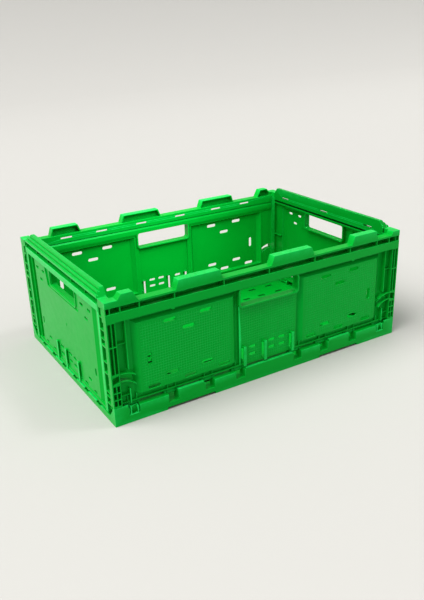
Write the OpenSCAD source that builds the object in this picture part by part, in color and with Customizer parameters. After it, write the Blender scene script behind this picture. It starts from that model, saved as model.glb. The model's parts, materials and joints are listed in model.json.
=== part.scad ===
/* [Footprint] */
// Length of the crate over its long side
crate_l = 600; // [560:10:640]
// Width of the crate over its short side
crate_w = 400; // [370:10:430]

/* [Walls] */
// General thickness of the moulded skins
wall_t = 2.5; // [2:0.1:2.8]
// Thickness of the thin stiffening ribs
rib_t = 1.8; // [1.4:0.1:2]
// Height of the stacking tabs above the base
tab_top = 221.6; // [220:0.1:221.8]
// Height of the end walls' stepped rim above the base
rim_top = 225; // [224.5:0.5:226]

/* [Handles] */
// Width of each hand hole
grip_w = 120; // [100:2:124]
// Corner radius of each hand hole
grip_r = 5; // [3:0.5:7]

/* [Hinges] */
// Radius of the moulded hinge pins
pin_r = 3; // [2.8:0.1:3.2]
// Radial running clearance of the pins in the base
pin_gap = 0.06; // [0.04:0.01:0.09]

/* [Base] */
// Thickness of the floor plate
floor_t = 2.5; // [2:0.25:2.5]
// Number of slot columns in the floor on each side of the middle
floor_cols = 6; // [3:1:6]

/* [Colour] */
// Colour of the moulded plastic
body_col = "green"; // [green, limegreen, seagreen]

/* [Hidden] */
$fn = 48;
hl = crate_l / 2;
hw = crate_w / 2;
t = wall_t;
// hinge axes: long wall pin line and end wall pin line
lw_y = -(hw - 13);
lw_z = 27;
ew_x = -(hl - 14);
ew_z = 9;
bore_r = pin_r + pin_gap;
strap_x = [-265, -194, -124, -62, 62, 124, 194, 265];
strap_w = 17;
knuckle_y = [-133, -80, -27, 27, 80, 133];
knuckle_w = 16;
groove_ribs = [-298.9, -275, -243, -182, -91, -1, 97, 179, 244, 275, 298.9];
web_slots = [-208, -132, -42, 50, 139, 214];
label_bars = [-52, -9, 51];
vent_slots = [[192, 158], [126, 158], [159, 138.5], [192, 65.5], [126, 65.5],
              [226, 50.5], [159, 50.5], [94, 50.5]];
end_slots = [[124, 173.5], [92, 173.5], [108, 154], [97, 39], [78, 23], [117, 23]];

// box from low corner to high corner
module bx(x0, x1, y0, y1, z0, z1) {
  translate([x0, y0, z0]) cube([x1 - x0, y1 - y0, z1 - z0]);
}

// flat outline in X and Z, standing from y0 to y1
module xz(pts, y0, y1) {
  translate([0, y1, 0]) rotate([90, 0, 0]) linear_extrude(y1 - y0) polygon(pts);
}

// flat outline in Y and Z, running from x0 to x1
module yz(pts, x0, x1) {
  translate([x0, 0, 0]) rotate([90, 0, 90]) linear_extrude(x1 - x0) polygon(pts);
}

// rounded rectangle, w by h with corner radius r
module rr(w, h, r) {
  square([w - 2 * r, h], center = true);
  square([w, h - 2 * r], center = true);
  for (sx = [-1, 1], sy = [-1, 1])
    translate([sx * (w / 2 - r), sy * (h / 2 - r)]) circle(r);
}

// slot with full round ends through a wall that faces Y
module y_slot(x, z, w, h, y0, y1) {
  r = min(w, h) / 2 - 0.01;
  translate([x, y1, z]) rotate([90, 0, 0]) linear_extrude(y1 - y0) rr(w, h, r);
}

// round bar along X
module x_rod(x0, x1, y, z, r) {
  translate([x0, y, z]) rotate([0, 90, 0]) cylinder(h = x1 - x0, r = r);
}

// round bar along Y
module y_rod(y0, y1, x, z, r) {
  translate([x, y0, z]) rotate([-90, 0, 0]) cylinder(h = y1 - y0, r = r);
}

// arched rib of radius r around (x, z), standing from y0 to y1
module arch(x, z, r, y0, y1) {
  translate([x, y1, z]) rotate([90, 0, 0]) linear_extrude(y1 - y0) difference() {
    circle(r + rib_t / 2);
    circle(r - rib_t / 2);
  }
}

/* ---------- long wall, drawn at the front ---------- */

// outline of one tab, a and d at the foot, b and c at the top
function tab_pts(a, b, c, d, z0, z1) = [[a, z0], [b, z1], [c, z1], [d, z0]];

// one stacking tab, a shell open towards the crate's inside
module tab(a, b, c, d) {
  difference() {
    xz(tab_pts(a, b, c, d, 203, tab_top), -hw, -hw + 15);
    xz(tab_pts(a + 3.6, b + 2.4, c - 2.4, d - 3.6, 206, tab_top - t), -hw + t, -hw + 16);
  }
}

// raised block between a groove and the corner, s is the side
module block_shape(s, o, y_face) {
  // o shrinks the outline for the hollow behind the face
  intersection() {
    translate([0, 0, 40]) linear_extrude(140)
      polygon([[s * (66 + o), -186], [s * (66 + o), -190 + o], [s * (74 + o * 0.7), y_face],
               [s * (249.5 - o * 0.7), y_face], [s * (258 - o), -190 + o],
               [s * (258 - o), -186]]);
    yz([[-186, 43.5 + o], [-190 + o, 43.5 + o], [y_face, 45 + o * 0.8],
        [y_face, 166.5 - o * 0.6], [-190 + o, 172 - o], [-186, 172 - o]], -hl, hl);
  }
}

// rim, groove and rail along the top of a long wall
module long_wall_top() {
  // flange
  bx(-hl, hl, -hw, -183.5, 202.5, 206);
  // web behind the groove with its drain slots
  difference() {
    bx(-hl, hl, -186, -183.5, 190, 206);
    for (x = web_slots) y_slot(x, 199, 24, 3.6, -188, -182);
  }
  // ribs across the groove
  for (x = groove_ribs) bx(x - rib_t / 2, x + rib_t / 2, -hw + 0.6, -185, 192, 203);
  // rail, hollow and open below
  difference() {
    bx(-hl, hl, -hw, -185, 178, 193);
    bx(-hl + t, hl - t, -hw + t, -190, 174, 190.5);
    bx(-285 + t, 285 - t, -187.5, -183, 174, 190.5);
  }
  for (x = groove_ribs) bx(x - rib_t / 2, x + rib_t / 2, -hw + 1, -189, 178.5, 192);
  // rounded ridge on the inside
  yz([[-187.6, 171], [-187.6, 189.5], [-186, 189.5], [-184.6, 187.2], [-183.5, 185],
      [-183.5, 177], [-184.6, 174], [-186, 171]], -285, 285);
  // bosses on the rail with a half round bump at its lower edge
  for (x = [-186, 186]) {
    y_rod(-hw, -hw + 6, x, 178.2, 3.2);
    y_rod(-hw + 0.8, -hw + 4, x, 185.5, 3.5);
  }
}

// ribbed zone beside a raised block, s is the side
module corner_zone(s) {
  mirror([s < 0 ? 1 : 0, 0, 0]) {
    // upright rib in front of the skin, open where the see-through slot is
    for (z = [[34, 60], [94, 178.5]]) bx(268, 268 + rib_t, -hw + 1.5, -188, z[0], z[1]);
    // cross ribs
    for (z = [48, 138]) bx(268, 286, -hw + 4.5, -188, z, z + rib_t);
    // twin arches over the see-through slot
    intersection() {
      union() {
        arch(283, 42, 47.5, -hw + 0.6, -187.5);
        arch(283, 42, 34.5, -hw + 0.6, -187.5);
      }
      bx(258, 300, -hw, -185, 60, 95);
    }
  }
}

// corner column of a long wall, s is the side
module column(s) {
  mirror([s < 0 ? 1 : 0, 0, 0]) {
    difference() {
      bx(285, hl, -hw, -174, 33.5, 203);
      // cells open to the front
      for (c = [[286.6, 291.2], [293, 297.8]], z = [[36, 46], [48, 58], [60, 71], [92, 137], [139, 177]])
        bx(c[0], c[1], -hw - 1, -191.5, z[0], z[1]);
      // curved window between the arches
      intersection() {
        bx(286.6, 297.8, -hw - 1, -191.5, 70, 92);
        translate([283, -180, 42]) rotate([90, 0, 0]) difference() {
          cylinder(h = 30, r = 46.6);
          translate([0, 0, -1]) cylinder(h = 32, r = 35.4);
        }
      }
      // cells open to the end
      for (z = [[36, 47], [49, 55], [57, 88], [91, 108], [110, 135], [139, 148], [150, 163],
                [165, 184], [186, 200]])
        bx(288, hl + 1, -189, -176.2, z[0], z[1]);
      // groove below the pad, on the outer faces
      bx(283, hl + 1, -hw - 1, -188, 193, 202.5);
    }
    // rib across the groove at the end
    bx(291, 291 + rib_t, -hw + 1, -187, 192, 203);
    // round foot that turns in the base's corner block
    difference() {
      union() {
        x_rod(286.2, 297.2, lw_y, lw_z, 9.4);
        bx(286.2, 297.2, lw_y - 7.4, lw_y + 7.4, lw_z, 34);
      }
      for (z = [19, 26]) bx(289, 300, -189, -178, z, z + 5);
    }
  }
}

// pad on top of a column, s is the side, foot is where its slope starts
module pad(s, top_x, foot) {
  mirror([s < 0 ? 1 : 0, 0, 0]) difference() {
    union() {
      xz([[foot, 203], [top_x, 213], [hl, 213], [hl, 203]], -hw, -hw + 15);
      bx(285, hl, -hw, -174, 202.5, 213);
    }
    bx(287.2, hl - t, -hw + t, -173, 206, 210.8);
  }
}

// strap, knuckle and pins that carry the wall in the base
module strap(x) {
  w = strap_w / 2;
  bx(x - w, x + w, -190, -184, lw_z, 37);
  x_rod(x - w, x + w, lw_y, lw_z, 4);
  x_rod(x - w - 3.2, x + w + 3.2, lw_y, lw_z, pin_r);
  // pair of ribs that run up from the strap
  for (d = [-w, w - rib_t]) bx(x + d, x + d + rib_t, -194, -189, 33.5, 46);
}

module long_wall_solid() {
  difference() {
    union() {
      // skin of the wall
      bx(-286, 286, -190, -187.5, 33.5, 180);
      // middle panel
      bx(-61, 61, -194, -187.5, 33.5, 180);
      for (s = [-1, 1]) block_shape(s, 0, -197);
      // foot ledge
      bx(-286, 286, -194, -184, 33.5, 36);
    }
    // hollows behind the blocks and the panel
    for (s = [-1, 1]) translate([0, 0.01, 0]) block_shape(s, t, -194.5);
    bx(-58.5, 58.5, -191.5, -183, 36, 141);
    // louvre slots
    for (s = [-1, 1], p = vent_slots) y_slot(s * p[0], p[1], 22, 6.6, -hw, -184);
    for (s = [-1, 1]) y_slot(s * 231, 100, 7, 22, -hw, -184);
    // see-through slots beside the arches
    for (s = [-1, 1]) intersection() {
      bx(s > 0 ? 259 : -284, s > 0 ? 284 : -259, -192, -186, 62, 92);
      translate([s * 283, -180, 42]) rotate([90, 0, 0]) difference() {
        cylinder(h = 20, r = 46.2);
        translate([0, 0, -1]) cylinder(h = 22, r = 35.8);
      }
    }
    // slits and small slots of the label holder
    for (x = label_bars) bx(x - 4.6, x + 4.6, -hw, -183, 37, 66.5);
    for (p = [[-33, 64], [-33, 50], [8, 66], [8, 52], [30, 66], [30, 52]])
      y_slot(p[0], p[1], 14, 5, -hw, -184);
  }
  long_wall_top();
  // hand hole collar
  translate([0, -183.5, 162]) rotate([90, 0, 0])
    linear_extrude(16.3) rr(grip_w + 6, 37, grip_r + 3);
  // label holder, three hoops in front of their slits
  for (x = label_bars) {
    bx(x - 2.8, x + 2.8, -hw, -hw + 2.2, 33.5, 70);
    bx(x - 2.8, x + 2.8, -hw + 0.5, -191, 66.8, 70);
    bx(x - 2.8, x + 2.8, -hw + 0.5, -191, 33.5, 36.8);
  }
  for (s = [-1, 1]) {
    corner_zone(s);
    column(s);
  }
  for (x = strap_x) strap(x);
  // row of tabs and the two corner pads
  tab(-181, -175, -99, -92);
  tab(2, 9, 89, 96);
  tab(181, 188, 240, 246);
  tab(-286, -272, -253, -243);
  pad(-1, 279, 276);
  pad(1, 283, 278);
}

// the long wall with its hand hole cut through collar, panel and ridge
module long_wall() {
  difference() {
    long_wall_solid();
    translate([0, -180, 162]) rotate([90, 0, 0]) linear_extrude(22) rr(grip_w, 31, grip_r);
  }
}

/* ---------- end wall, drawn at the left ---------- */

// flat outline in X and Z, running along Y with slanted ends
module rim_run(pts, e0, e1, z0, z1) {
  intersection() {
    translate([0, hw, 0]) rotate([90, 0, 0]) linear_extrude(2 * hw) polygon(pts);
    yz([[-e0, z0], [-e1, z1], [e1, z1], [e0, z0]], -hl - 1, -270);
  }
}

module end_wall_panel() {
  difference() {
    union() {
      // skin beside and around the raised field
      bx(-291, -288.5, -172, 172, 14, 192);
      // raised field
      translate([0, 0, 14]) linear_extrude(172)
        polygon([[-288.5, -148], [-291, -148], [-296.5, -138], [-296.5, 138], [-291, 148],
                 [-288.5, 148]]);
      // foot rail over the hinge line
      bx(-298, -282.5, -172, 172, 14, 16.5);
      bx(-298, -290, -165, 165, 14, 18);
    }
    // hollow behind the raised field
    translate([0, 0, 16.5]) linear_extrude(167)
      polygon([[-286, -145.6], [-288.6, -145.6], [-290, -145.2], [-294, -137], [-294, 137],
               [-290, 145.2], [-288.6, 145.6], [-286, 145.6]]);
    // louvre slots
    for (s = [-1, 1], p = end_slots) translate([-280, 0, 0]) rotate([0, 0, 90])
      y_slot(s * p[0], p[1], 13, 5, -2, 20);
    for (s = [-1, 1]) translate([-280, 0, 0]) rotate([0, 0, 90])
      y_slot(s * 127, 65, 5, 14, -2, 20);
    for (y = label_bars) bx(-hl, -282, -y - 4.6, -y + 4.6, 19, 48.5);
    // small slots between the hoops of the label holder
    for (p = [[-33, 46], [-33, 32], [8, 48], [8, 34], [30, 48], [30, 34]])
      translate([-280, 0, 0]) rotate([0, 0, 90]) y_slot(-p[0], p[1], 14, 5, -2, 20);
  }
  // backing of the shallow field round the hand hole
  bx(-294.4, -291.6, -84, 84, 150, 184);
  // round gate mark in the middle of the raised field
  x_rod(-297.1, -295, -5, 105, 2.4);
}

module end_wall() {
  // panel, shallower round the hand hole
  difference() {
    end_wall_panel();
    yz([[-82, 187], [-73, 153], [73, 153], [82, 187]], -hl, -294.2);
    bx(-hl, -282, -grip_w / 2 + 1, grip_w / 2 - 1, 158, 188);
  }
  // stepped side frames, with the stop flange that sits behind the long walls' columns
  for (s = [-1, 1]) mirror([0, s < 0 ? 1 : 0, 0]) {
    bx(-299.5, -282.5, 169.5, 172, 14, 204);
    bx(-284.5, -282.5, 169.5, 181.5, 14, 204);
    bx(-299.5, -297.3, 163, 172, 14, 192);
    bx(-299.5, -293.2, 163, 165.2, 14, 192);
    bx(-295.4, -293.2, 155.5, 165.2, 14, 192);
    bx(-295.4, -289, 155.5, 157.7, 14, 192);
    for (z = [60, 116]) bx(-290, -283, 148, 170, z, z + rib_t);
  }
  // rail below the groove
  difference() {
    bx(-hl, -283, -172, 172, 190, 201);
    bx(-hl + t, -285.5, -169.5, 169.5, 192.5, 198.5);
    bx(-288, -282, -169.5, 169.5, 193.5, 197.5);
  }
  // web behind the groove with its drain slots
  difference() {
    bx(-285.5, -283, -172, 172, 198, 213);
    for (y = [-131, 0, 131]) translate([-280, 0, 0]) rotate([0, 0, 90])
      y_slot(y, 207, 24, 3.2, 0, 8);
  }
  for (y = [-171, -115, -57, 57, 115, 171])
    bx(-297, -284, y - rib_t / 2, y + rib_t / 2, 200, 212);
  // stepped rim, open below
  difference() {
    rim_run([[-hl, 211], [-hl, 214.8], [-299, 215.8], [-297, 215.8], [-296.8, 214.6],
             [-295.8, 214.6], [-295.5, 219.4], [-294.6, 220.4], [-292.8, 220.4], [-292.6, 219.2],
             [-291.6, 219.2], [-291.2, 224], [-290.2, rim_top], [-283, rim_top], [-283, 211]],
            172, 162, 211, rim_top);
    rim_run([[-hl + t, 210], [-hl + t, 212.3], [-294.2, 212.3], [-293.2, 217.2],
             [-290.2, 217.2], [-288.8, rim_top - t], [-285.5, rim_top - t], [-285.5, 210]],
            169.5, 160, 210, rim_top - 1);
  }
  // hand hole collar
  translate([-283, 0, 173]) rotate([90, 0, -90]) difference() {
    linear_extrude(13) rr(grip_w + 6, 38, grip_r + 3);
    translate([0, 0, -1]) linear_extrude(16) rr(grip_w, 32, grip_r);
  }
  // label holder, three hoops in front of their slits
  for (y = label_bars) {
    bx(-hl, -hl + 2, -y - 2.8, -y + 2.8, 15, 52);
    bx(-hl + 0.5, -293.6, -y - 2.8, -y + 2.8, 48.8, 52);
    bx(-hl + 0.5, -293.6, -y - 2.8, -y + 2.8, 15, 18.5);
  }
  // hinge arms, knuckles and pins
  for (y = knuckle_y) {
    w = knuckle_w / 2;
    bx(-290, -282.6, y - w, y + w, ew_z, 15);
    bx(-297.5, -289.5, y - 6, y + 6, ew_z + 1.3, 15);
    y_rod(y - w, y + w, ew_x, ew_z, 4.2);
    y_rod(y - w - 3.2, y + w + 3.2, ew_x, ew_z, pin_r);
  }
}

/* ---------- base ---------- */

// front band of the base, with notches for the straps
module base_band() {
  nw = strap_w / 2 + 0.5;
  difference() {
    union() {
      bx(-hl, hl, -hw, -hw + t, 0, 27.5);
      bx(-hl + 15, hl - 15, -185, -182.3, 2.5, 27.5);
      bx(-285, 285, -hw, -182.3, 2.5, 5);
      bx(-hl + 15, hl - 15, -hw, -182.3, 25, 27.5);
      // taller stretches of the outer edge
      for (s = [-1, 1]) bx(s > 0 ? 136 : -185, s > 0 ? 185 : -136, -hw, -hw + 5, 26, 31.8);
      bx(-51, 51, -hw, -hw + 5, 26, 30);
      // cross ribs inside the band
      for (x = [-235, -160, -93, -31, 31, 93, 160, 235])
        bx(x - 1, x + 1, -hw + 1, -183, 3, 27);
      // ledge at the foot of each notch
      for (x = strap_x) bx(x - nw - 2.5, x + nw + 2.5, -hw, -182.3, 10.5, 13);
      // lugs either side of each notch
      for (x = strap_x) {
        x_rod(x - nw - 5, x + nw + 5, lw_y, lw_z, 4.7);
        bx(x - nw - 5, x + nw + 5, -191.7, -182.3, 3, lw_z);
        for (d = [-nw - 2.5, nw]) bx(x + d, x + d + 2.5, -hw, -183, 10.5, 27.5);
      }
    }
    for (x = strap_x) {
      bx(x - nw, x + nw, -hw - 1, -181, 13, 40);
      x_rod(x - nw - 4, x + nw + 4, lw_y, lw_z, bore_r);
    }
    // cut-outs along the foot
    for (s = [-1, 1]) bx(s > 0 ? 114 : -206, s > 0 ? 206 : -114, -hw - 1, -hw + 12, -1, 4);
  }
}

// corner block with its sloping end, drawn at the front right
module base_corner() {
  difference() {
    yz([[-hw, 0], [-hw, 33], [-196, 33], [-181, 13.5], [-165, 5], [-165, 0]], 285.5, hl);
    yz([[-hw + t, -1], [-hw + t, 30], [-197, 30], [-183.5, 11], [-167.5, 2.6], [-167.5, -1]],
       287.5, hl - 2.2);
    // socket for the round foot of the column
    x_rod(284, hl - 2.2, lw_y, lw_z, 10);
  }
  bx(275.5, 286, -hw, -hw + t, 26, 33);
}

// end band of the base with the end wall's hinge lugs, drawn at the left
module base_end() {
  nw = knuckle_w / 2 + 0.5;
  difference() {
    union() {
      bx(-hl, -hl + t, -180, 180, 0, 12);
      bx(-hl, -291.6, -172, 172, 9.5, 12);
      bx(-hl, -280, -185, 185, 0, 2.6);
      for (y = knuckle_y) {
        bx(-290.4, -281.6, y - nw - 5, y + nw + 5, 2, ew_z);
        y_rod(y - nw - 5, y + nw + 5, ew_x, ew_z, 4.4);
      }
      for (y = [-106, -53, 0, 53, 106]) bx(-299, -290, y - 1, y + 1, 1, 11);
    }
    for (y = knuckle_y) {
      bx(-291.5, -281, y - nw, y + nw, 4, 20);
      bx(-hl - 1, -291, y - nw, y + nw, 8.6, 20);
      y_rod(y - nw - 4, y + nw + 4, ew_x, ew_z, bore_r);
    }
  }
}

module base_tray() {
  color(body_col) {
    difference() {
      union() {
        // floor plate and the rails under it
        bx(-281, 281, -186, 186, 5 - floor_t, 5);
        difference() {
          bx(-hl + 1, hl - 1, -hw + 1, hw - 1, 0, 3);
          bx(-277, 277, -181, 181, -1, 4);
        }
        for (x = [-240 : 60 : 240]) bx(x - 1, x + 1, -182, 182, 0, 3);
        for (y = [-120 : 60 : 120]) bx(-278, 278, y - 1, y + 1, 0, 3);
      }
      // cut-outs along the foot, same as in the band
      for (sx = [-1, 1], sy = [-1, 1])
        bx(sx > 0 ? 114 : -206, sx > 0 ? 206 : -114, sy > 0 ? hw - 12 : -hw - 1,
           sy > 0 ? hw + 1 : -hw + 12, -1, 4);
      // floor slots, staggered between the rails
      for (sx = [-1, 1], i = [0 : floor_cols - 1], j = [-2.5 : 1 : 2.5], k = [-1, 1])
        translate([sx * (21 + i * 44 + (i % 2) * 3), j * 60 + k * 11, 0])
          linear_extrude(12) rr(20, 6, 2.9);
      for (s = [-1, 1]) for (y = knuckle_y)
        bx(s > 0 ? 280 : -292, s > 0 ? 292 : -280, y - 8.5, y + 8.5, 4, 9);
    }
    for (a = [0, 180]) rotate([0, 0, a]) {
      base_band();
      base_end();
      base_corner();
      mirror([1, 0, 0]) base_corner();
    }
  }
}

/* ---------- hinge retaining clip ---------- */

// ribbed clip pressed into a corner notch under the strap, drawn at the front
module hinge_clip(x) {
  w = strap_w / 2 + 0.45;
  difference() {
    bx(x - w, x + w, -hw, -184.5, 13, 22.4);
    bx(x - 5.2, x + 5.2, -hw - 1, -hw + 5, 14.6, 30);
    bx(x - w - 1, x - 6.8, -hw - 1, -hw + 2, 14.6, 30);
    bx(x + 6.8, x + w + 1, -hw - 1, -hw + 2, 14.6, 30);
  }
  for (d = [-6.8, 5.2]) bx(x + d, x + d + 1.6, -hw, -hw + 6.5, 14, 28);
  bx(x - 6, x + 6, -hw + 4.2, -hw + 6.4, 20, 27.4);
}

module long_wall_front() {
  color(body_col) long_wall();
}

module long_wall_back() {
  color(body_col) rotate([0, 0, 180]) long_wall();
}

module end_wall_left() {
  color(body_col) end_wall();
}

module end_wall_right() {
  color(body_col) rotate([0, 0, 180]) end_wall();
}

module hinge_clip_front_left() {
  color(body_col) hinge_clip(-265);
}

module hinge_clip_front_right() {
  color(body_col) hinge_clip(265);
}

module hinge_clip_back_left() {
  color(body_col) rotate([0, 0, 180]) hinge_clip(265);
}

module hinge_clip_back_right() {
  color(body_col) rotate([0, 0, 180]) hinge_clip(-265);
}

base_tray();
long_wall_front();
long_wall_back();
end_wall_left();
end_wall_right();
hinge_clip_front_left();
hinge_clip_front_right();
hinge_clip_back_left();
hinge_clip_back_right();
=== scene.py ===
"""Looks of the collapsible storage crate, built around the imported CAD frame."""

import json
import math

import bmesh
import bpy
from mathutils import Matrix, Vector
from mathutils.bvhtree import BVHTree
from mathutils.geometry import delaunay_2d_cdt

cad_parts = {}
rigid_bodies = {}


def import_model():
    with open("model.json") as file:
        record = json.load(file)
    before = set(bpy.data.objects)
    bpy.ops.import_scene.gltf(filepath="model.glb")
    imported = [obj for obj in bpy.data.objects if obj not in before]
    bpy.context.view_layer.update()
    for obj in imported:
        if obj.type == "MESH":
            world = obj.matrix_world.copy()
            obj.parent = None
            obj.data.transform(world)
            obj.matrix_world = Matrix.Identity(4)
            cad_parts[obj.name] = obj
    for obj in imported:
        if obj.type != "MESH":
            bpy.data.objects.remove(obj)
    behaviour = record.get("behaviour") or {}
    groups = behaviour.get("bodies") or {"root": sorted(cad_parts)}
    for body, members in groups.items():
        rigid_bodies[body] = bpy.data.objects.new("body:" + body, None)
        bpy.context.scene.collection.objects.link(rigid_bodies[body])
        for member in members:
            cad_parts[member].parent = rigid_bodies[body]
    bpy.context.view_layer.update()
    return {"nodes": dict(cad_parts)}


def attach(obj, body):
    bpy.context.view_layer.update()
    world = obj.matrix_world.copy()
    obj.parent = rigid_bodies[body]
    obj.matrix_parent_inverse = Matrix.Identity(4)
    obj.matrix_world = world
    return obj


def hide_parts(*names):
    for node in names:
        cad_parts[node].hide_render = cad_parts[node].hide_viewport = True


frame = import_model()

MM = 0.001

# ---------------------------------------------------------------- camera
CAMERA_PLACE = (-0.6394, -1.0717, 0.6030)
CAMERA_LENS = 41.2
AZIMUTH = math.radians(-31.0)
ELEVATION = math.radians(22.9)
ROLL = math.radians(1.86)

BACKWARD = Vector((math.sin(AZIMUTH) * math.cos(ELEVATION),
                   -math.cos(AZIMUTH) * math.cos(ELEVATION),
                   math.sin(ELEVATION)))
FORWARD = -BACKWARD
RIGHT = FORWARD.cross(Vector((0, 0, 1))).normalized()
UP = RIGHT.cross(FORWARD)
right_rolled = RIGHT * math.cos(ROLL) - UP * math.sin(ROLL)
up_rolled = RIGHT * math.sin(ROLL) + UP * math.cos(ROLL)
cam = bpy.data.objects.new("camera", bpy.data.cameras.new("camera"))
cam.data.sensor_width = 36
cam.data.lens = CAMERA_LENS
cam.data.clip_end = 100
turned = Matrix((right_rolled, up_rolled, BACKWARD)).transposed().to_4x4()
cam.matrix_world = Matrix.Translation(CAMERA_PLACE) @ turned
bpy.context.scene.collection.objects.link(cam)
bpy.context.scene.camera = cam


# ---------------------------------------------------------------- materials
def node_at(tree, kind, **inputs):
    """Adds a shader node and sets its inputs by name."""
    node = tree.nodes.new(kind)
    for key, value in inputs.items():
        node.inputs[key.replace("_", " ")].default_value = value
    return node


def plastic(name, base, dark, light, scuff=(0.01, 0.42, 0.08), rough=0.31, grain=0.10):
    """Satin injection-moulded polyethylene, with flow mottling, scuffs and edges lightened as a
    painted highlight.
    """
    mat = bpy.data.materials.new(name)
    mat.use_nodes = True
    tree = mat.node_tree
    bsdf = tree.nodes["Principled BSDF"]
    link = tree.links.new
    coord = tree.nodes.new("ShaderNodeTexCoord")
    # broad mottling from the melt's flow
    flow = node_at(tree, "ShaderNodeTexNoise",
                   Scale=7.0, Detail=4.0, Roughness=0.55, Distortion=0.6)
    link(coord.outputs["Object"], flow.inputs["Vector"])
    ramp = tree.nodes.new("ShaderNodeValToRGB")
    ramp.color_ramp.elements[0].position = 0.30
    ramp.color_ramp.elements[1].position = 0.72
    ramp.color_ramp.elements[0].color = dark + (1,)
    ramp.color_ramp.elements[1].color = base + (1,)
    link(flow.outputs["Fac"], ramp.inputs["Fac"])
    # edges lightened where the surface curves: a painted highlight, broken into patches by noise
    geometry = tree.nodes.new("ShaderNodeNewGeometry")
    edge = tree.nodes.new("ShaderNodeMapRange")
    edge.inputs["From Min"].default_value = 0.53
    edge.inputs["From Max"].default_value = 0.59
    link(geometry.outputs["Pointiness"], edge.inputs["Value"])
    patch = node_at(tree, "ShaderNodeTexNoise", Scale=90.0, Detail=3.0, Roughness=0.6)
    link(coord.outputs["Object"], patch.inputs["Vector"])
    highlight_mask = tree.nodes.new("ShaderNodeMath")
    highlight_mask.operation = "MULTIPLY"
    link(edge.outputs["Result"], highlight_mask.inputs[0])
    link(patch.outputs["Fac"], highlight_mask.inputs[1])
    # mixes the painted edge highlight into the colour
    edge_highlit = tree.nodes.new("ShaderNodeMix")
    edge_highlit.data_type = "RGBA"
    link(highlight_mask.outputs[0], edge_highlit.inputs["Factor"])
    link(ramp.outputs["Color"], edge_highlit.inputs["A"])
    edge_highlit.inputs["B"].default_value = light + (1,)
    # fine handling scratches lighten the colour a little
    stretch = tree.nodes.new("ShaderNodeMapping")
    stretch.inputs["Scale"].default_value = (14, 14, 190)
    stretch.inputs["Rotation"].default_value = (0.2, 0.9, 0.3)
    link(coord.outputs["Object"], stretch.inputs["Vector"])
    scratch = node_at(tree, "ShaderNodeTexNoise", Scale=6.0, Detail=6.0, Roughness=0.7)
    link(stretch.outputs["Vector"], scratch.inputs["Vector"])
    thin = tree.nodes.new("ShaderNodeMapRange")
    thin.inputs["From Min"].default_value = 0.62
    thin.inputs["From Max"].default_value = 0.72
    thin.inputs["To Max"].default_value = 0.22
    link(scratch.outputs["Fac"], thin.inputs["Value"])
    scratched = tree.nodes.new("ShaderNodeMix")
    scratched.data_type = "RGBA"
    link(thin.outputs["Result"], scratched.inputs["Factor"])
    link(edge_highlit.outputs["Result"], scratched.inputs["A"])
    scratched.inputs["B"].default_value = scuff + (1,)
    link(scratched.outputs["Result"], bsdf.inputs["Base Color"])
    # roughness varies with the mottling
    roughness = tree.nodes.new("ShaderNodeMapRange")
    roughness.inputs["To Min"].default_value = rough - 0.06
    roughness.inputs["To Max"].default_value = rough + 0.10
    link(patch.outputs["Fac"], roughness.inputs["Value"])
    link(roughness.outputs["Result"], bsdf.inputs["Roughness"])
    # fine mould grain over broad, shallow sink marks
    fine = node_at(tree, "ShaderNodeTexNoise", Scale=1900.0, Detail=2.0, Roughness=0.5)
    link(coord.outputs["Object"], fine.inputs["Vector"])
    sink = node_at(tree, "ShaderNodeTexNoise", Scale=22.0, Detail=1.0)
    link(coord.outputs["Object"], sink.inputs["Vector"])
    grain_bump = node_at(tree, "ShaderNodeBump", Strength=grain, Distance=0.0002)
    link(fine.outputs["Fac"], grain_bump.inputs["Height"])
    sink_bump = node_at(tree, "ShaderNodeBump", Strength=0.12, Distance=0.002)
    link(sink.outputs["Fac"], sink_bump.inputs["Height"])
    link(grain_bump.outputs["Normal"], sink_bump.inputs["Normal"])
    link(sink_bump.outputs["Normal"], bsdf.inputs["Normal"])
    bsdf.inputs["IOR"].default_value = 1.5
    bsdf.inputs["Specular IOR Level"].default_value = 0.45
    bsdf.inputs["Specular Tint"].default_value = (0.12, 1.0, 0.38, 1)
    return mat


# in each finish, light is the colour of the painted edge highlight
GREEN = plastic("crate_green",
                base=(0.0, 0.330, 0.033), dark=(0.0, 0.300, 0.027), light=(0.03, 0.85, 0.22))
PANEL_GREEN = plastic("panel_green",
                      base=(0.0, 0.345, 0.037), dark=(0.0, 0.315, 0.030), light=(0.01, 0.42, 0.07))
# a much lighter green for the outer rounded edges: a painted highlight
EDGE_HIGHLIGHT_GREEN = plastic("edge_highlight_green",
                     base=(0.03, 0.60, 0.15), dark=(0.02, 0.50, 0.11), light=(0.10, 0.85, 0.32))
CLIP_GREEN = plastic("clip_green",
                     base=(0.0, 0.305, 0.030), dark=(0.0, 0.275, 0.025), light=(0.03, 0.80, 0.20),
                     rough=0.34)


# ---------------------------------------------------------------- mesh helpers
# packed vertices closer than this are one, in metres
WELD = 2e-6
# how far off its plane a flat area's vertex may lie, in metres
FLATNESS = 3e-6
# least cosine between the normals of a flat area and of a triangle in it
SAME_WAY = 0.7
# tolerance of the flat filling, in millimetres
FILL_TOLERANCE = 1e-4
# edges that turn by more than this are rounded
SHARP_ANGLE = math.radians(24)
# how far an edge is rounded back on each side, in metres
WALL_ROUNDING = 0.0005
CLIP_ROUNDING = 0.0002


def flat_areas(bm, area_id):
    """Numbers every flat area of the mesh and gives back a point and the normal of each."""
    planes = {}
    for start in sorted(bm.faces, key=lambda f: -f.calc_area()):
        if start[area_id]:
            continue
        point, normal = start.verts[0].co.copy(), start.normal.copy()
        number = len(planes) + 1
        planes[number] = (point, normal)
        start[area_id] = number
        stack = [start]
        while stack:
            for edge in stack.pop().edges:
                for f in edge.link_faces:
                    if f[area_id] or f.normal.dot(normal) < SAME_WAY:
                        continue
                    if all(abs((v.co - point).dot(normal)) < FLATNESS for v in f.verts):
                        f[area_id] = number
                        stack.append(f)
    return planes


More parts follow.
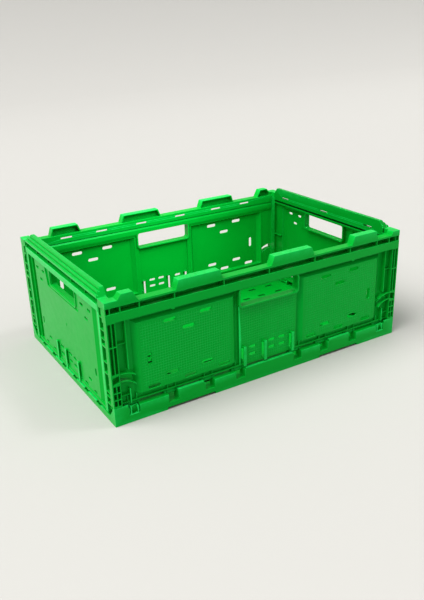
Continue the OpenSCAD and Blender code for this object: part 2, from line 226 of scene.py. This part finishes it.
def fill_flat(bm, faces, point, normal):
    """Replaces the triangles of one flat area by a clean filling of its outline."""
    own = set(faces)
    rim = [e for e in {e for f in faces for e in f.edges}
           if sum(f in own for f in e.link_faces) == 1]
    verts = list({v for e in rim for v in e.verts})
    at = {v: i for i, v in enumerate(verts)}
    across = normal.orthogonal().normalized()
    up = normal.cross(across)
    flat = [Vector(((v.co - point).dot(across), (v.co - point).dot(up))) / MM for v in verts]
    lines = [(at[e.verts[0]], at[e.verts[1]]) for e in rim]
    filled = delaunay_2d_cdt(flat, lines, [], 0, FILL_TOLERANCE)
    spots, edges, tris, old_verts, old_edges, _ = filled
    crossings = {tuple(sorted(e)): len(old) for e, old in zip(edges, old_edges)}
    beside = {}
    for i, tri in enumerate(tris):
        for a, b in zip(tri, tri[1:] + tri[:1]):
            beside.setdefault(tuple(sorted((a, b))), []).append(i)
    # a triangle is inside when an odd number of outlines lies between it and the outside
    inside = {}
    stack = [(ts[0], crossings.get(e, 0) % 2) for e, ts in beside.items() if len(ts) == 1]
    while stack:
        i, state = stack.pop()
        if i in inside:
            continue
        inside[i] = state
        tri = tris[i]
        for a, b in zip(tri, tri[1:] + tri[:1]):
            e = tuple(sorted((a, b)))
            for j in beside[e]:
                if j not in inside:
                    stack.append((j, (state + crossings.get(e, 0)) % 2))
    for f in faces:
        bm.faces.remove(f)
    made = [verts[old[0]] if old else bm.verts.new(point + (across * p.x + up * p.y) * MM)
            for p, old in zip(spots, old_verts)]
    for i, tri in enumerate(tris):
        corners = [made[k] for k in tri]
        if inside.get(i) and len(set(corners)) == 3 and not bm.faces.get(corners):
            bm.faces.new(corners)


def round_edges(bm, width):
    """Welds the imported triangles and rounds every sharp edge, inner and outer ones alike."""
    bmesh.ops.remove_doubles(bm, verts=bm.verts, dist=WELD)
    area_id = bm.faces.layers.int.new("flat_area")
    planes = flat_areas(bm, area_id)
    sharp_shape = BVHTree.FromBMesh(bm)
    low = [min(v.co[k] for v in bm.verts) for k in range(3)]
    high = [max(v.co[k] for v in bm.verts) for k in range(3)]
    edges = [e for e in bm.edges
             if len(e.link_faces) == 2 and e.calc_face_angle(0) > SHARP_ANGLE]
    bmesh.ops.bevel(bm, geom=edges, offset=width, offset_type="OFFSET", segments=2, profile=0.5,
                    affect="EDGES", clamp_overlap=False, material=1, loop_slide=False)
    # rounding a thin tip can overshoot, so vertices stay in the part's own box
    for v in bm.verts:
        v.co = [min(max(v.co[k], low[k]), high[k]) for k in range(3)]
    groups = {}
    for f in bm.faces:
        if f.material_index == 0:
            groups.setdefault(f[area_id], []).append(f)
    for number, faces in groups.items():
        if len(faces) > 2:
            fill_flat(bm, faces, *planes[number])
    # only outer edges keep the lighter colour of the painted highlight, inner corners go back to
    # the plain one
    for f in bm.faces:
        if f.material_index == 1:
            middle = f.calc_center_median()
            spot, normal, _, _ = sharp_shape.find_nearest(middle)
            if (middle - spot).dot(normal) >= 0:
                f.material_index = 0
    bmesh.ops.delete(bm, geom=[e for e in bm.edges if not e.link_faces], context="EDGES")
    bmesh.ops.delete(bm, geom=[v for v in bm.verts if not v.link_faces], context="VERTS")


# the waffle's ridges: half the width, the rise over the face and the foot's depth, in metres
RIDGE_HALF = 0.0006
RIDGE_RISE = 0.00022
RIDGE_SINK = 0.00008
# distance between ridges and shortest ridge that is drawn, in millimetres
PITCH = 4.6
SHORTEST = 1.0


def ridge(bm, a, b, out):
    """A low three-sided ridge from a to b on a face whose outward direction is out."""
    along = (b - a).normalized()
    side = along.cross(out).normalized() * RIDGE_HALF
    foot = out * -RIDGE_SINK
    top = out * RIDGE_RISE
    ring = []
    for p in (a, b):
        ring.append([bm.verts.new(p + side + foot), bm.verts.new(p + top),
                     bm.verts.new(p - side + foot)])
    (p0, p1, p2), (q0, q1, q2) = ring
    for f in ((p0, q0, q1, p1), (p1, q1, q2, p2), (p2, q2, q0, p0), (p2, p1, p0), (q0, q1, q2)):
        bm.faces.new(f)


def gaps(lo, hi, holes):
    """The stretches of lo to hi that no hole covers."""
    out = []
    at = lo
    for h0, h1 in sorted(holes):
        if h1 <= at:
            continue
        if h0 > at:
            out.append((at, min(h0, hi)))
        at = max(at, h1)
        if at >= hi:
            break
    if at < hi:
        out.append((at, hi))
    return [g for g in out if g[1] - g[0] > SHORTEST]


def waffle(bm, x0, x1, z0, z1, y, out, holes):
    """A fine square grid of ridges over a face that looks along Y. Sizes in millimetres."""
    nx = round((x1 - x0) / PITCH)
    nz = round((z1 - z0) / PITCH)
    for i in range(1, nx):
        x = x0 + (x1 - x0) * i / nx
        cut = [(h[2], h[3]) for h in holes if h[0] < x < h[1]]
        for a, b in gaps(z0, z1, cut):
            ridge(bm, Vector((x, y, a)) * MM, Vector((x, y, b)) * MM, out)
    for k in range(1, nz):
        z = z0 + (z1 - z0) * k / nz
        cut = [(h[0], h[1]) for h in holes if h[2] < z < h[3]]
        for a, b in gaps(x0, x1, cut):
            ridge(bm, Vector((a, y, z)) * MM, Vector((b, y, z)) * MM, out)


def add_moulding(node, body, mat, rounding):
    """The visible piece for a CAD node: its own shape with rounded edges, the outer ones painted
    lighter as a highlight.
    """
    mesh = frame["nodes"][node].data.copy()
    bm = bmesh.new()
    bm.from_mesh(mesh)
    for f in bm.faces:
        f.material_index = 0
    round_edges(bm, rounding)
    bm.to_mesh(mesh)
    bm.free()
    mesh.name = node + "_moulding"
    obj = bpy.data.objects.new(node + "_moulding", mesh)
    bpy.context.scene.collection.objects.link(obj)
    mesh.materials.clear()
    mesh.materials.append(mat)
    # second slot: the lighter green of the painted edge highlight
    mesh.materials.append(EDGE_HIGHLIGHT_GREEN)
    for p in mesh.polygons:
        p.use_smooth = True
    shading = obj.modifiers.new("shading", "WEIGHTED_NORMAL")
    shading.mode = "FACE_AREA"
    shading.weight = 100
    shading.keep_sharp = False
    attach(obj, body)
    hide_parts(node)


def add_detail(node, body, draw, turn):
    """A piece of fine detail on a CAD node, drawn at the front and turned if asked."""
    bm = bmesh.new()
    draw(bm)
    if turn:
        bmesh.ops.transform(bm, matrix=Matrix.Rotation(math.pi, 4, "Z"), verts=bm.verts)
    detail = bpy.data.meshes.new(node + "_detail")
    bm.to_mesh(detail)
    bm.free()
    detail.materials.append(PANEL_GREEN)
    piece = bpy.data.objects.new(node + "_detail", detail)
    bpy.context.scene.collection.objects.link(piece)
    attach(piece, body)


# ---------------------------------------------------------------- details
# places on a long wall in millimetres, the same as in the CAD
VENTS = [(192, 158), (126, 158), (159, 138.5), (192, 65.5), (126, 65.5), (226, 50.5),
         (159, 50.5), (94, 50.5)]
UPRIGHT_VENT = (231, 100)
LABEL_BARS = [-52, -9, 51]
LABEL_SLOTS = [(-33, 64), (-33, 50), (8, 66), (8, 52), (30, 66), (30, 52)]
BLOCK_Y = -197
PANEL_Y = -194


def around(x, z, half_x, half_z):
    """The area around a slot that the waffle leaves free."""
    return (x - half_x, x + half_x, z - half_z, z + half_z)


def long_wall_detail(bm):
    """Fine waffle on the raised blocks and the middle panel of a long wall."""
    out = Vector((0, -1, 0))
    for s in (-1, 1):
        holes = [around(s * x, z, 12.5, 4.8) for x, z in VENTS]
        holes.append(around(s * UPRIGHT_VENT[0], UPRIGHT_VENT[1], 5, 12.5))
        a, b = sorted((s * 79, s * 245))
        waffle(bm, a, b, 52, 163, BLOCK_Y, out, holes)
    # the label holder's bars, whose clear area is wider on one side
    holes = [(x - 6.5, x + 9, 30, 72) for x in LABEL_BARS]
    holes += [around(x, z, 8.5, 3.8) for x, z in LABEL_SLOTS]
    waffle(bm, -58, 58, 38, 141, PANEL_Y, out, holes)


for node, body, turn in (("long_wall_front", "front_wall", False),
                         ("long_wall_back", "back_wall", True)):
    add_moulding(node, body, GREEN, WALL_ROUNDING)
    add_detail(node, body, long_wall_detail, turn)
for node, body in (("end_wall_left", "left_end"), ("end_wall_right", "right_end"),
                   ("base_tray", "base")):
    add_moulding(node, body, GREEN, WALL_ROUNDING)
for corner in ("front_left", "front_right", "back_left", "back_right"):
    add_moulding("hinge_clip_" + corner, "base", CLIP_GREEN, CLIP_ROUNDING)

# ---------------------------------------------------------------- stage and light
bpy.context.scene.view_settings.view_transform = "Standard"
bpy.context.scene.view_settings.look = "Medium High Contrast"
# a floor that curves up into a backdrop far behind the crate, in metres
FLOOR_REACH = 40.0
CURVE_START = 4.0
CURVE_RADIUS = 3
CURVE_STEPS = 16
BACKDROP_TOP = 9.0
floor = bpy.data.objects.new("floor", bpy.data.meshes.new("floor"))
bm = bmesh.new()
profile = [(-FLOOR_REACH, 0.0), (CURVE_START, 0.0)]
for step in range(1, CURVE_STEPS + 1):
    angle = step * math.pi / (2 * CURVE_STEPS)
    profile.append((CURVE_START + CURVE_RADIUS * math.sin(angle),
                    CURVE_RADIUS - CURVE_RADIUS * math.cos(angle)))
profile.append((CURVE_START + CURVE_RADIUS, BACKDROP_TOP))
rows = [[bm.verts.new((x, y, z)) for x in (-FLOOR_REACH, FLOOR_REACH)] for y, z in profile]
for a, b in zip(rows, rows[1:]):
    bm.faces.new((a[0], a[1], b[1], b[0])).smooth = True
bm.to_mesh(floor.data)
bm.free()
bpy.context.scene.collection.objects.link(floor)
floor_mat = bpy.data.materials.new("floor")
floor_mat.use_nodes = True
floor_shader = floor_mat.node_tree.nodes["Principled BSDF"]
floor_shader.inputs["Base Color"].default_value = (0.405, 0.40, 0.388, 1)
floor_shader.inputs["Roughness"].default_value = 0.75
floor.data.materials.append(floor_mat)

world = bpy.data.worlds.new("studio")
bpy.context.scene.world = world
world.use_nodes = True
background = world.node_tree.nodes["Background"]
background.inputs["Color"].default_value = (1.0, 0.99, 0.965, 1)
background.inputs["Strength"].default_value = 0.62


def soft_sun(name, place, strength, spread, colour=(1, 1, 1)):
    """A distant light, spread degrees wide, that shines from place towards the crate."""
    data = bpy.data.lights.new(name, "SUN")
    data.energy = strength
    data.angle = math.radians(spread)
    data.color = colour
    lamp = bpy.data.objects.new(name, data)
    lamp.location = place
    lamp.rotation_euler = (-Vector(place)).to_track_quat("-Z", "Y").to_euler()
    bpy.context.scene.collection.objects.link(lamp)
    return lamp


def soft_box(name, place, aim, size, power, spread):
    """A square area light at place that looks at aim and spills little to the sides."""
    data = bpy.data.lights.new(name, "AREA")
    data.size = size
    data.energy = power
    data.spread = math.radians(spread)
    lamp = bpy.data.objects.new(name, data)
    lamp.location = place
    lamp.rotation_euler = (Vector(aim) - Vector(place)).to_track_quat("-Z", "Y").to_euler()
    bpy.context.scene.collection.objects.link(lamp)
    return lamp


def only_on(lamp, wanted):
    """Limits a light to the pieces whose name wanted accepts."""
    group = bpy.data.collections.new(lamp.name + "_receivers")
    for obj in bpy.context.scene.collection.objects:
        if obj.type == "MESH" and wanted(obj.name):
            group.objects.link(obj)
    lamp.light_linking.receiver_collection = group


def far_end(name):
    """True for the pieces of the end wall that is farther from the camera."""
    return name.startswith("end_wall_right")


def far_side(name):
    """True for the pieces of the long wall that is farther from the camera."""
    return name.startswith("long_wall_back")


# the far end wall has a weaker key light of its own, a choice of looks and not of a real room
KEY_PLACE = (-2.2, 0.1, 3.0)
KEY_COLOUR = (1.0, 0.995, 0.97)
key = soft_sun("key_left", KEY_PLACE, strength=3.75, spread=45, colour=KEY_COLOUR)
only_on(key, lambda name: not far_end(name))
far_key = soft_sun("key_far_end", KEY_PLACE, strength=2.2, spread=45, colour=KEY_COLOUR)
only_on(far_key, far_end)
soft_sun("top_soft", (0.4, -0.9, 3.0), strength=0.27, spread=80)
# a small, weak lamp for glints on rims and chamfers
soft_sun("edge_glint", (1.42, -0.7, 2.58), strength=0.5, spread=10)
# a fill that reaches the back wall only, also a choice of looks
fill = soft_box("back_wall_fill", place=(-0.05, -0.13, 0.50), aim=(-0.02, 0.19, 0.13),
                size=0.30, power=0.95, spread=95)
only_on(fill, far_side)
